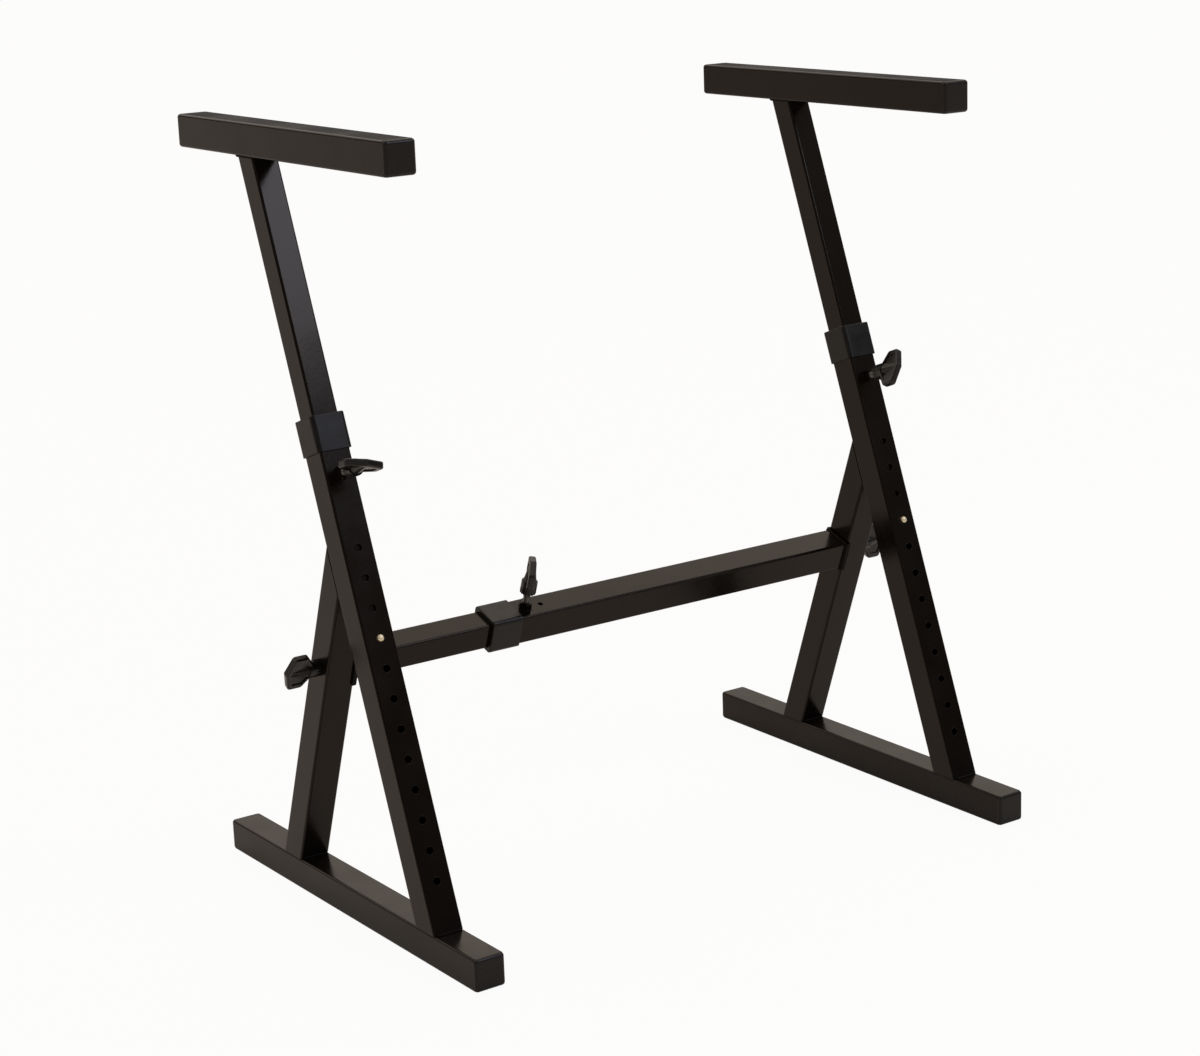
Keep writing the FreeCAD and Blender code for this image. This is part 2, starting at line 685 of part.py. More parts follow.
def stand_frame(side, sign):
    """Builds one side frame with its post, arm, button and clamps."""
    x = sign * half_spacing
    foot_top = size("outer_tube")
    front = FreeCAD.Placement(FreeCAD.Vector(x, front_leg_y, foot_top), FreeCAD.Rotation(ACROSS, -lean))
    rear = FreeCAD.Placement(FreeCAD.Vector(x, rear_leg_y, foot_top), FreeCAD.Rotation(ACROSS, lean))
    lay_tube(f"{side}_foot", x, foot_front, foot_rear, half_tube)
    lay_tube(f"{side}_arm", x, arm_front, arm_rear, arm_underside + half_tube)
    placed(front, make_front_leg(f"{side}_front_leg"), (0, 0, 0))
    placed(rear, make_rear_leg(f"{side}_rear_leg"), (0, 0, 0))
    placed(front, make_collar(f"{side}_leg_collar"), (0, 0, size("front_leg_length")))
    placed(front, make_post(f"{side}_post"), (0, 0, post_foot))
    placed(front, make_button(f"{side}_snap_button"), (0, 0, button_height), ACROSS, 90)
    placed(front, make_spring(f"{side}_button_spring"), (0, 0, button_height))
    face = (0, -half_tube, clamp_height)
    hub = (0, -half_tube - size("clamp_standoff"), clamp_height)
    turn = size(f"{side}_post_knob_angle")
    placed(front, make_nut(f"{side}_leg_nut", "Sizes.leg_nut_height"), face, ACROSS, 90)
    placed(front, make_screw(f"{side}_post_screw", clamp_reach), hub, ACROSS, 90, turn)
    placed(front, make_knob(f"{side}_post_knob"), hub, ACROSS, 90, turn)
    inner_wall = (-sign * (half_tube + size("bracket_gap")), 0, crossbar_height)
    plate_front = (-sign * (half_tube + bracket_depth), 0, crossbar_height)
    placed(rear, make_bracket(f"{side}_end_bracket"), inner_wall, BACK, -90 * sign)
    placed(rear, make_nut(f"{side}_end_nut", "Sizes.end_nut_height"), plate_front, BACK, -90 * sign)
    outer_wall = (sign * (half_tube + size("slide_gap")), 0, crossbar_height)
    turn = size("side_knob_angle")
    placed(rear, make_screw(f"{side}_side_screw", side_reach), outer_wall, BACK, 90 * sign, turn)
    placed(rear, make_knob(f"{side}_side_knob"), outer_wall, BACK, 90 * sign, turn)


def lay_crossbar():
    """Builds the telescoping crossbar with its collar and clamp."""
    middle = FreeCAD.Placement(
        FreeCAD.Vector(0, rear_leg_y, size("outer_tube")), FreeCAD.Rotation(ACROSS, lean))
    inner = square_tube("crossbar_inner", "Sizes.inner_tube", "Sizes.crossbar_inner_length")
    placed(middle, inner, (-crossbar_end, 0, crossbar_height), BACK, 90)
    length = ("Sizes.frame_spacing - Sizes.outer_tube - 2 * Sizes.bracket_gap"
              " - 2 * Sizes.bracket_plate - Sizes.crossbar_shown_length - Sizes.collar_lip")
    outer = make_crossbar_outer("crossbar_outer", length)
    placed(middle, outer, (outer_start, 0, crossbar_height), BACK, 90)
    placed(middle, make_collar("crossbar_collar"), (outer_start, 0, crossbar_height), BACK, -90)
    clamp = collar_end + size("crossbar_clamp_setback")
    upper_wall = (clamp, 0, crossbar_height + half_tube)
    hub = (clamp, 0, crossbar_height + half_tube + size("clamp_standoff"))
    turn = size("crossbar_knob_angle")
    placed(middle, make_nut("crossbar_nut", "Sizes.leg_nut_height"), upper_wall)
    placed(middle, make_screw("crossbar_screw", clamp_reach), hub, turn=turn)
    placed(middle, make_knob("crossbar_knob"), hub, turn=turn)


for side_name, side_sign in (("left", -1), ("right", 1)):
    stand_frame(side_name, side_sign)
lay_crossbar()
doc.recompute()

# Every object is sound before any file is written
for item in doc.Objects:
    if "Invalid" in item.State or "Error" in item.State:
        raise RuntimeError(f"{item.Label} did not build: {item.State}")
os.makedirs("parts", exist_ok=True)
for body in doc.findObjects("PartDesign::Body"):
    if body.Shape.isNull() or not body.Shape.isValid() or len(body.Shape.Solids) != 1:
        raise RuntimeError(f"{body.Label} is not one valid solid")
    body.Shape.exportStep(f"parts/{body.Label}.step")
    print(f"{body.Label}: {body.Shape.Volume:.1f} mm3")
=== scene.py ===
import logging
import math
from dataclasses import dataclass
from enum import Enum
from typing import Any, Iterable, Mapping, Sequence

import bmesh
import bpy
from mathutils import Matrix, Vector


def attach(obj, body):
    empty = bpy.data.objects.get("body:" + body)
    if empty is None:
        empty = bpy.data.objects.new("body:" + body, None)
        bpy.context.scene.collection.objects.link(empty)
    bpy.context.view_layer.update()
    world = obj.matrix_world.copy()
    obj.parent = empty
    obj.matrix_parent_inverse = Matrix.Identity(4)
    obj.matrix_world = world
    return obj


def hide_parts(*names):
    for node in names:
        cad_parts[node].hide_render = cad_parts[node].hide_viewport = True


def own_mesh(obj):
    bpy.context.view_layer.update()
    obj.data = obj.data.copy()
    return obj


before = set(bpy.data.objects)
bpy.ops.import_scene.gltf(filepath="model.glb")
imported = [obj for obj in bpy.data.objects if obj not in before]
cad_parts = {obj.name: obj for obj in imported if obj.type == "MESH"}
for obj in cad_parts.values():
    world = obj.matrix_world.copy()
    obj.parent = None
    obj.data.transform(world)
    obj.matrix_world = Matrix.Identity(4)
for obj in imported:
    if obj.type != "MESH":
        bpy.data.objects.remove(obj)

# Dresses a z-style keyboard stand: finishes for its tubes, fittings and screws, weld beads where the
# tubes meet, rims round the height holes, cut threads on the lock screws, the button springs,
# and the studio around it.

log = logging.getLogger("keyboard_stand")
MM = 0.001
HEXAGON_SIDES = 6
# Corners of a solid's triangles that are nearer than this are one corner
MERGE_DISTANCE = 0.01 * MM
# Edges of a solid that turn by less than this are round
ROUND_ANGLE = math.radians(30)
# Values between which a noise texture mostly stays
NOISE_SPAN = (0.3, 0.7)
# Sockets of a node that mixes two colours, whose names other sockets on it share
MIX_FIRST, MIX_SECOND, MIX_RESULT = 6, 7, 2


class Side(Enum):
    """The two side frames, with the sign of their place across the stand."""

    LEFT = -1
    RIGHT = 1

    def named(self, part: str) -> str:
        """Name of a piece, body or joint on this side."""
        return f"{self.name.lower()}_{part}"


class Slot(Enum):
    """Names of the stand's material slots."""

    COAT = "black_powder_coat"
    ZINC = "zinc_plated_steel"
    SPRING = "spring_steel"


# Nodes and meshes

def linear(colour: str) -> tuple[float, float, float, float]:
    """Turns an sRGB hex colour into linear values, by the curve of the sRGB standard.

    Args:
        colour: Colour such as "#1a1a1a".

    Returns:
        Linear red, green and blue, and full opacity.
    """
    channels = [int(colour[at:at + 2], 16) / 255 for at in (1, 3, 5)]
    curve = [c / 12.92 if c <= 0.04045 else ((c + 0.055) / 1.055) ** 2.4 for c in channels]
    return (*curve, 1.0)


def add_node(tree: bpy.types.NodeTree, kind: str, inputs: Mapping[str | int, Any] | None = None,
             **settings: Any) -> bpy.types.Node:
    """Adds a node with its settings, plain input values and links.

    Args:
        tree: Tree that gets the node.
        kind: Blender's name for the node type.
        inputs: Input name or number to a plain value or to the socket that feeds it.
        settings: Properties of the node itself.

    Returns:
        The new node.
    """
    node = tree.nodes.new(kind)
    for name, value in settings.items():
        setattr(node, name, value)
    for key, value in (inputs or {}).items():
        if isinstance(value, bpy.types.NodeSocket):
            tree.links.new(value, node.inputs[key])
        else:
            node.inputs[key].default_value = value
    return node


def new_shader(name: str) -> tuple[bpy.types.Material, bpy.types.NodeTree]:
    """Starts an empty node material.

    Args:
        name: Name of the material.

    Returns:
        The material and its node tree.
    """
    material = bpy.data.materials.new(name)
    material.use_nodes = True
    material.node_tree.nodes.clear()
    return material, material.node_tree


def close_shader(tree: bpy.types.NodeTree, inputs: Mapping[str, Any]) -> None:
    """Ends a finish in one shader.

    Args:
        tree: Tree of the finish.
        inputs: The shader's inputs, as add_node takes them.
    """
    shader = add_node(tree, "ShaderNodeBsdfPrincipled", inputs)
    add_node(tree, "ShaderNodeOutputMaterial", {"Surface": shader.outputs[0]})


def per_metre(millimetres: float) -> float:
    """Texture scale whose pattern repeats about every so many millimetres."""
    return 1 / (millimetres * MM)


def mottle(tree: bpy.types.NodeTree, cloud: bpy.types.NodeSocket, wear: bpy.types.NodeSocket,
           colours: tuple[str, str], roughness: tuple[float, float]) -> dict[str, bpy.types.NodeSocket]:
    """Lets a finish drift between two colours and between two degrees of roughness.

    Args:
        tree: Tree of the finish.
        cloud: Texture that the colour follows.
        wear: Texture that the roughness follows.
        colours: Colours at the cloud's low and high values.
        roughness: Roughness at the wear's low and high values.

    Returns:
        The shader's inputs for colour and roughness.
    """
    colour = add_node(tree, "ShaderNodeMix", {
        "Factor": cloud, MIX_FIRST: linear(colours[0]), MIX_SECOND: linear(colours[1])},
        data_type="RGBA")
    level = add_node(tree, "ShaderNodeMapRange", {
        "Value": wear, "From Min": NOISE_SPAN[0], "From Max": NOISE_SPAN[1],
        "To Min": roughness[0], "To Max": roughness[1]})
    return {"Base Color": colour.outputs[MIX_RESULT], "Roughness": level.outputs[0]}


def new_tree(
    name: str, inputs: Mapping[str, str],
) -> tuple[bpy.types.NodeTree, bpy.types.Node, bpy.types.Node]:
    """Starts a Geometry Nodes tree with named inputs.

    Args:
        name: Name of the tree.
        inputs: Input name to its socket type, after the geometry itself.

    Returns:
        The tree, its input node and its output node.
    """
    tree = bpy.data.node_groups.new(name, "GeometryNodeTree")
    tree.interface.new_socket("Geometry", in_out="INPUT", socket_type="NodeSocketGeometry")
    for label, kind in inputs.items():
        tree.interface.new_socket(label, in_out="INPUT", socket_type=kind)
    tree.interface.new_socket("Geometry", in_out="OUTPUT", socket_type="NodeSocketGeometry")
    return tree, tree.nodes.new("NodeGroupInput"), tree.nodes.new("NodeGroupOutput")


def close_tree(tree: bpy.types.NodeTree, source: bpy.types.Node, target: bpy.types.Node,
               geometry: bpy.types.NodeSocket) -> None:
    """Ends a tree with real geometry in its finish.

    Args:
        tree: Tree to end.
        source: The tree's input node, which has a Material input.
        target: The tree's output node.
        geometry: Socket with the finished geometry.
    """
    real = add_node(tree, "GeometryNodeRealizeInstances", {"Geometry": geometry})
    dressed = add_node(tree, "GeometryNodeSetMaterial",
                       {"Geometry": real.outputs[0], "Material": source.outputs["Material"]})
    tree.links.new(dressed.outputs[0], target.inputs[0])


def add_object(name: str, data: bpy.types.ID) -> bpy.types.Object:
    """Puts a mesh, a lamp or a camera into the scene.

    Args:
        name: Name of the object.
        data: The mesh, lamp or camera.

    Returns:
        The new object.
    """
    item = bpy.data.objects.new(name, data)
    bpy.context.scene.collection.objects.link(item)
    return item


def grow(name: str, mesh: bpy.types.Mesh, tree: bpy.types.NodeTree,
         values: Mapping[str, Any], place: Matrix | None = None) -> bpy.types.Object:
    """Runs a Geometry Nodes tree on a mesh and keeps the result as a plain mesh object.

    Args:
        name: Name of the piece.
        mesh: Mesh that the tree starts from.
        tree: Tree to run.
        values: Input name to value.
        place: Where the result stands, in the stand's frame.

    Returns:
        An object at the origin with the finished mesh.
    """
    piece = add_object(name, mesh)
    modifier = piece.modifiers.new("nodes", "NODES")
    modifier.node_group = tree
    for item in tree.interface.items_tree:
        if item.in_out == "INPUT" and item.name in values:
            modifier[item.identifier] = values[item.name]
    graph = bpy.context.evaluated_depsgraph_get()
    finished = bpy.data.meshes.new_from_object(piece.evaluated_get(graph))
    piece.modifiers.remove(modifier)
    if place is not None:
        finished.transform(place)
    finished.name = name
    piece.data = finished
    return piece


def point_mesh(name: str) -> bpy.types.Mesh:
    """A mesh of one point, for trees that make all their geometry themselves.

    Args:
        name: Name of the mesh.

    Returns:
        A mesh with one point at the origin.
    """
    mesh = bpy.data.meshes.new(name)
    mesh.from_pydata([(0, 0, 0)], [], [])
    return mesh


def path_mesh(name: str, paths: Iterable[Sequence[Vector]], closed: bool = False) -> bpy.types.Mesh:
    """A mesh of bare polylines.

    Args:
        name: Name of the mesh.
        paths: Points of each line.
        closed: Whether each line ends where it began.

    Returns:
        A mesh with edges only.
    """
    points: list[Vector] = []
    edges: list[tuple[int, int]] = []
    for path in paths:
        first = len(points)
        points.extend(path)
        edges.extend((first + n, first + n + 1) for n in range(len(path) - 1))
        if closed:
            edges.append((len(points) - 1, first))
    mesh = bpy.data.meshes.new(name)
    mesh.from_pydata(points, edges, [])
    return mesh


def merged_copy(node: str, name: str) -> bpy.types.Mesh:
    """A copy of a solid's mesh whose loose triangles share their corners.

    Args:
        node: Name of the solid.
        name: Name of the copy.

    Returns:
        The copy, smooth where the solid is round, with no material.
    """
    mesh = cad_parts[node].data.copy()
    mesh.name = name
    mesh.materials.clear()
    work = bmesh.new()
    work.from_mesh(mesh)
    bmesh.ops.remove_doubles(work, verts=work.verts, dist=MERGE_DISTANCE)
    work.to_mesh(mesh)
    work.free()
    mesh.set_sharp_from_angle(angle=ROUND_ANGLE)
    return mesh


# Finishes

@dataclass(frozen=True)
class PowderCoat:
    """Black polyester powder baked on steel tube: a hard skin with a soft gloss and faint orange peel."""

    name: str = "semi_gloss_black_powder_coat"
    # The coat is blackest where it is deep, and a little browner where it is thin
    colours: tuple[str, str] = ("#090706", "#120e0b")
    cloud_mm: float = 45.0
    cloud_detail: float = 4.0
    # The bloom on a baked coat weakens its gloss and warms it
    tint: str = "#fff0e4"
    roughness: tuple[float, float] = (0.16, 0.27)
    ior: float = 1.3
    # The real peel is about 1.5 mm across, drawn at 4 mm so that it shows
    peel_mm: float = 4.0
    peel_depth_mm: float = 0.025
    peel_detail: float = 2.0
    # Rolled tube is never quite flat, which bends its reflections a little
    wave_mm: float = 70.0
    wave_depth_mm: float = 0.35
    wave_detail: float = 1.0
    # Rub marks are this far apart, and are drawn out along a tube that leans by rub_lean degrees
    rub_mm: float = 0.0
    rub_lean: float = 0.0
    rub_stretch: tuple[float, float, float] = (1.0, 1.0, 1.0)
    rub_detail: float = 3.0

    def build(self) -> bpy.types.Material:
        """Makes the material.

        Returns:
            The coat, with rub marks along the tube when rub_mm is above zero.
        """
        material, tree = new_shader(self.name)
        place = add_node(tree, "ShaderNodeTexCoord").outputs["Object"]
        cloud = add_node(tree, "ShaderNodeTexNoise", {
            "Vector": place, "Scale": per_metre(self.cloud_mm), "Detail": self.cloud_detail})
        wear = cloud.outputs["Fac"]
        if self.rub_mm:
            stretched = add_node(tree, "ShaderNodeMapping", {
                "Vector": place, "Rotation": (-math.radians(self.rub_lean), 0.0, 0.0),
                "Scale": self.rub_stretch}, vector_type="TEXTURE")
            rub = add_node(tree, "ShaderNodeTexNoise", {
                "Vector": stretched.outputs[0], "Scale": per_metre(self.rub_mm),
                "Detail": self.rub_detail})
            wear = add_node(tree, "ShaderNodeMath", {0: wear, 1: rub.outputs["Fac"]},
                            operation="MULTIPLY").outputs[0]
        wave = add_node(tree, "ShaderNodeTexNoise", {
            "Vector": place, "Scale": per_metre(self.wave_mm), "Detail": self.wave_detail})
        swell = add_node(tree, "ShaderNodeBump", {
            "Height": wave.outputs["Fac"], "Strength": 1.0, "Distance": self.wave_depth_mm * MM})
        peel = add_node(tree, "ShaderNodeTexNoise", {
            "Vector": place, "Scale": per_metre(self.peel_mm), "Detail": self.peel_detail})
        skin = add_node(tree, "ShaderNodeBump", {
            "Height": peel.outputs["Fac"], "Strength": 1.0, "Distance": self.peel_depth_mm * MM,
            "Normal": swell.outputs[0]})
        close_shader(tree, {
            **mottle(tree, cloud.outputs["Fac"], wear, self.colours, self.roughness),
            "Normal": skin.outputs[0], "IOR": self.ior, "Specular Tint": linear(self.tint)})
        return material


@dataclass(frozen=True)
class MouldedPlastic:
    """Black nylon from a spark-eroded mould: grey-black with a fine even grain."""

    name: str = "satin_black_moulded_nylon"
    colours: tuple[str, str] = ("#0a0909", "#161413")
    roughness: tuple[float, float] = (0.30, 0.42)
    ior: float = 1.36
    # The mould's grain is about 0.3 mm, drawn at 1.4 mm so that it shows
    grain_mm: float = 1.4
    grain_depth_mm: float = 0.15
    grain_strength: float = 0.25
    # The melt leaves faint streaks where it flowed into the mould
    flow_mm: float = 14.0
    flow_detail: float = 5.0
    flow_twist: float = 0.4

    def build(self) -> bpy.types.Material:
        """Makes the material.

        Returns:
            The plastic, grained and streaked.
        """
        material, tree = new_shader(self.name)
        place = add_node(tree, "ShaderNodeTexCoord").outputs["Object"]
        grain = add_node(tree, "ShaderNodeTexVoronoi", {
            "Vector": place, "Scale": per_metre(self.grain_mm)}, feature="SMOOTH_F1")
        flow = add_node(tree, "ShaderNodeTexNoise", {
            "Vector": place, "Scale": per_metre(self.flow_mm), "Detail": self.flow_detail,
            "Distortion": self.flow_twist}).outputs["Fac"]
        skin = add_node(tree, "ShaderNodeBump", {
            "Height": grain.outputs["Distance"], "Strength": self.grain_strength,
            "Distance": self.grain_depth_mm * MM})
        close_shader(tree, {
            **mottle(tree, flow, flow, self.colours, self.roughness),
            "Normal": skin.outputs[0], "IOR": self.ior})
        return material


@dataclass(frozen=True)
class PlatedMetal:
    """Plated or bare metal: bright, with a cloudy plate and fine marks that break up its reflections."""

    name: str
    # The bright metal, and the dull clouds on it
    colours: tuple[str, str]
    roughness: tuple[float, float]
    cloud_mm: float
    # Turning and drawing marks are finer than the picture shows, so they are drawn this coarse
    mark_mm: float
    mark_depth_mm: float
    mark_strength: float = 0.3
    cloud_detail: float = 4.0
    mark_detail: float = 2.0

    def build(self) -> bpy.types.Material:
        """Makes the material.

        Returns:
            The metal, clouded and marked.
        """
        material, tree = new_shader(self.name)
        place = add_node(tree, "ShaderNodeTexCoord").outputs["Object"]
        cloud = add_node(tree, "ShaderNodeTexNoise", {
            "Vector": place, "Scale": per_metre(self.cloud_mm),
            "Detail": self.cloud_detail}).outputs["Fac"]
        mark = add_node(tree, "ShaderNodeTexNoise", {
            "Vector": place, "Scale": per_metre(self.mark_mm), "Detail": self.mark_detail})
        skin = add_node(tree, "ShaderNodeBump", {
            "Height": mark.outputs["Fac"], "Strength": self.mark_strength,
            "Distance": self.mark_depth_mm * MM})
        close_shader(tree, {
            **mottle(tree, cloud, cloud, self.colours, self.roughness),
            "Metallic": 1.0, "Normal": skin.outputs[0]})
        return material


@dataclass(frozen=True)
class Finishes:
    """All finishes of the stand, built once."""

    coat: bpy.types.Material
    post_coat: bpy.types.Material
    bar_coat: bpy.types.Material
    matt_coat: bpy.types.Material
    plastic: bpy.types.Material
    knob_plastic: bpy.types.Material
    zinc: bpy.types.Material
    brass: bpy.types.Material
    spring: bpy.types.Material

    @classmethod
    def build(cls, lean: float) -> "Finishes":
        """Makes every finish.

        Args:
            lean: Lean of the posts in degrees, which their rub marks follow.

        Returns:
            The finishes.
        """
        # Millimetres between rub marks, and how many times as long as wide they are
        rub_mm, rub_length = 1.6, 30.0
        return cls(
            coat=PowderCoat().build(),
            # The inner tubes carry faint rub marks along them, where the collars slide
            post_coat=PowderCoat(name="rubbed_black_powder_coat_on_posts", rub_mm=rub_mm, rub_lean=lean,
                                 rub_stretch=(1.0, 1.0, rub_length)).build(),
            bar_coat=PowderCoat(name="rubbed_black_powder_coat_on_crossbar", rub_mm=rub_mm,
                                rub_stretch=(rub_length, 1.0, 1.0)).build(),
            # Pressed brackets and weld beads have a rough skin, and the coat stays matt on it
            matt_coat=PowderCoat(name="matt_black_powder_coat", colours=("#050404", "#0a0807"),
                                 roughness=(0.5, 0.6), ior=1.2).build(),
            plastic=MouldedPlastic().build(),
            # Handling has polished the knobs
            knob_plastic=MouldedPlastic(name="polished_black_moulded_nylon", roughness=(0.22, 0.36),
                                        ior=1.46).build(),
            # Zinc dulled by handling, so the studs show as grey metal with small glints
            zinc=PlatedMetal(name="dull_zinc_plate", colours=("#8b8b87", "#565653"),
                             roughness=(0.28, 0.42), cloud_mm=3.0, mark_mm=0.8,
                             mark_depth_mm=0.03).build(),
            # Pale brass with a satin dome that gathers the light
            brass=PlatedMetal(name="satin_brass_button", colours=("#fff6e0", "#f4e2b8"),
                              roughness=(0.38, 0.5), cloud_mm=2.5, mark_mm=0.9,
                              mark_depth_mm=0.02).build(),
            # Grey-blue steel under a film of oil
            spring=PlatedMetal(name="oiled_spring_steel", colours=("#8c8c90", "#55555a"),
                               roughness=(0.3, 0.45), cloud_mm=6.0, mark_mm=1.2,
                               mark_depth_mm=0.02).build(),
        )


# Places and outlines

def turned(degrees: float, axis: str) -> Matrix:
    """A turn about one axis of a frame."""
    return Matrix.Rotation(math.radians(degrees), 4, axis)


def square(half: float) -> list[tuple[float, float]]:
    """Corners of a square about its middle, in order."""
    return [(-half, -half), (half, -half), (half, half), (-half, half)]


def hexagon_radius(width: float) -> float:
    """Distance from a hexagon's middle to its corners, from its width across two sides."""
    return width / math.sqrt(3)


def hexagon(place: Matrix, width: float) -> list[Vector]:
    """Corners of a hexagon that lies flat in a frame.

    Args:
        place: Frame that it lies in.
        width: Distance between two opposite sides.

    Returns:
        The six corners in order.
    """
    radius = hexagon_radius(width)
    turns = [math.radians(360 / HEXAGON_SIDES * n) for n in range(HEXAGON_SIDES)]
    return [place @ Vector((radius * math.cos(t), radius * math.sin(t), 0)) for t in turns]


def across(place: Matrix, y: float, z: float, width: float) -> list[Vector]:
    """A line across the stand at a point of a leg's own frame.

    Args:
        place: Frame of the leg.
        y: Distance behind its middle line.
        z: Height along it.
        width: Length of the line.

    Returns:
        The line's two ends.
    """
    return [place @ Vector((sign * width / 2, y, z)) for sign in (-1, 1)]


# Sizes shared by the sub-assemblies, in millimetres

@dataclass(frozen=True)
class StandSizes:
    """Driving sizes of the stand that the dressing needs."""

    tube: float = 35.0
    inner_tube: float = 30.0
    spacing: float = 707.0
    lean: float = 20.3
    foot_length: float = 515.0
    front_setback: float = 76.0
    rear_setback: float = 125.0
    leg_length: float = 533.0
    first_hole_drop: float = 138.0
    lowest_hole: float = 47.5
    hole_count: int = 12
    steps_down: int = 3
    post_length: float = 540.0
    post_tail: float = 26.0
    arm_rear_reach: float = 145.0
    clamp_drop: float = 60.0
    standoff: float = 20.5
    crossbar_drop: float = 120.0
    crossbar_shown: float = 167.0
    crossbar_clamp: float = 52.5
    bracket_gap: float = 0.1
    bracket_plate: float = 2.5
    nut_width: float = 13.0
    end_nut_height: float = 6.5
    slide_gap: float = 0.3
    tip_gap: float = 0.1
    screw_end: float = 2.0
    nut_bead: float = 0.9

    @property
    def half(self) -> float:
        """Half of the outer tube's width."""
        return self.tube / 2

    @property
    def leg_print(self) -> float:
        """Half of a leaning leg's length on the foot."""
        return self.half / math.cos(math.radians(self.lean))

    @property
    def hole_pitch(self) -> float:
        """Distance between neighbouring height holes."""
        row = self.leg_length - self.first_hole_drop - self.lowest_hole
        return row / (self.hole_count - 1)

    @property
    def button_height(self) -> float:
        """Place of the snap button along the front leg's middle line."""
        return self.leg_length - self.first_hole_drop - self.steps_down * self.hole_pitch

    @property
    def post_top(self) -> float:
        """Place of the arm's underside along the front leg's middle line."""
        return self.button_height - self.post_tail + self.post_length

    @property
    def meeting(self) -> float:
        """Place along the rear leg's middle line where it meets the front leg.

        Returns:
            The distance from the foot's top.
        """
        step = self.foot_length - self.front_setback - self.rear_setback - 2 * self.leg_print
        lean = math.radians(self.lean)
        return (step * math.cos(lean) - self.half) / math.sin(2 * lean)

    @property
    def crossbar_height(self) -> float:
        """Place of the crossbar along the rear leg's middle line."""
        return self.meeting - self.crossbar_drop

    @property
    def clamp_reach(self) -> float:
        """Length of a clamp screw's stud, from its knob to the inner tube."""
        return self.standoff + (self.tube - self.inner_tube) / 2 - self.tip_gap

    @property
    def depth(self) -> float:
        """Whole depth of the stand, from the foot's front end to the arm's rear end."""
        reach = self.post_top * math.sin(math.radians(self.lean))
        return max(self.foot_length, self.front_setback + self.leg_print + reach + self.arm_rear_reach)

    @property
    def clamp_height(self) -> float:
        """Height of the post's lock screw along the front leg."""
        return self.leg_length - self.clamp_drop

    def front_leg(self, side: Side) -> Matrix:
        """Frame of a front leg: its middle line at the foot's top, with Z up along the leg."""
        y = -self.depth / 2 + self.front_setback + self.leg_print
        return self._leg(side.value * self.spacing / 2, y, -self.lean)

    def rear_leg(self, side: Side | None) -> Matrix:
        """Frame of a rear leg, or the same frame in the stand's middle."""
        y = -self.depth / 2 + self.foot_length - self.rear_setback - self.leg_print
        return self._leg(side.value * self.spacing / 2 if side else 0.0, y, self.lean)

    def _leg(self, x: float, y: float, angle: float) -> Matrix:
        """Frame of a leaning leg, in metres outside and millimetres inside."""
        stand = Matrix.Translation(Vector((x, y, self.tube)) * MM)
        return stand @ turned(angle, "X") @ Matrix.Scale(MM, 4)


# Geometry Nodes trees

class WeldTree:
    """Weld bead along a path: a round bead whose width swells with every ripple of the weld pool."""

    RIPPLE_MM = 1.6
    RIPPLE_DEPTH_MM = 0.12
    # Each ripple is drawn in four steps
    STEP_SHARE = 0.25
    SECTION_STEPS = 12

    def __init__(self) -> None:
        """Builds the tree."""
        tree, source, target = new_tree("weld_bead", {
            "Bead Radius": "NodeSocketFloat", "Ripple": "NodeSocketFloat",
            "Ripple Depth": "NodeSocketFloat", "Material": "NodeSocketMaterial"})
        curve = add_node(tree, "GeometryNodeMeshToCurve", {"Mesh": source.outputs["Geometry"]})
        step = add_node(tree, "ShaderNodeMath", {
            0: source.outputs["Ripple"], 1: self.STEP_SHARE}, operation="MULTIPLY")
        even = add_node(tree, "GeometryNodeResampleCurve", {
            "Curve": curve.outputs[0], "Length": step.outputs[0]}, mode="LENGTH")
        along = add_node(tree, "GeometryNodeSplineParameter")
        turns = add_node(tree, "ShaderNodeMath", {
            0: along.outputs["Length"], 1: source.outputs["Ripple"]}, operation="DIVIDE")
        angle = add_node(tree, "ShaderNodeMath", {
            0: turns.outputs[0], 1: math.tau}, operation="MULTIPLY")
        wave = add_node(tree, "ShaderNodeMath", {0: angle.outputs[0]}, operation="SINE")
        swell = add_node(tree, "ShaderNodeMath", {
            0: wave.outputs[0], 1: source.outputs["Ripple Depth"], 2: source.outputs["Bead Radius"]},
            operation="MULTIPLY_ADD")
        section = add_node(tree, "GeometryNodeCurvePrimitiveCircle", {
            "Resolution": self.SECTION_STEPS, "Radius": 1.0})
        bead = add_node(tree, "GeometryNodeCurveToMesh", {
            "Curve": even.outputs[0], "Profile Curve": section.outputs[0], "Scale": swell.outputs[0],
            "Fill Caps": True})
        smooth = add_node(tree, "GeometryNodeSetShadeSmooth", {"Geometry": bead.outputs[0]})
        close_tree(tree, source, target, smooth.outputs[0])
        self.tree = tree

    def lay(self, name: str, paths: Iterable[Sequence[Vector]], finish: bpy.types.Material,
            radius_mm: float, closed: bool = False) -> bpy.types.Object:
        """Lays beads along paths.

        Args:
            name: Name of the piece.
            paths: Points of each bead, in metres.
            finish: Coat over the bead.
            radius_mm: Mean radius of the bead.
            closed: Whether each bead runs right round.

        Returns:
            One object with all the beads.
        """
        return grow(name, path_mesh(name, paths, closed), self.tree, {
            "Bead Radius": radius_mm * MM, "Ripple": self.RIPPLE_MM * MM,
            "Ripple Depth": self.RIPPLE_DEPTH_MM * MM, "Material": finish})


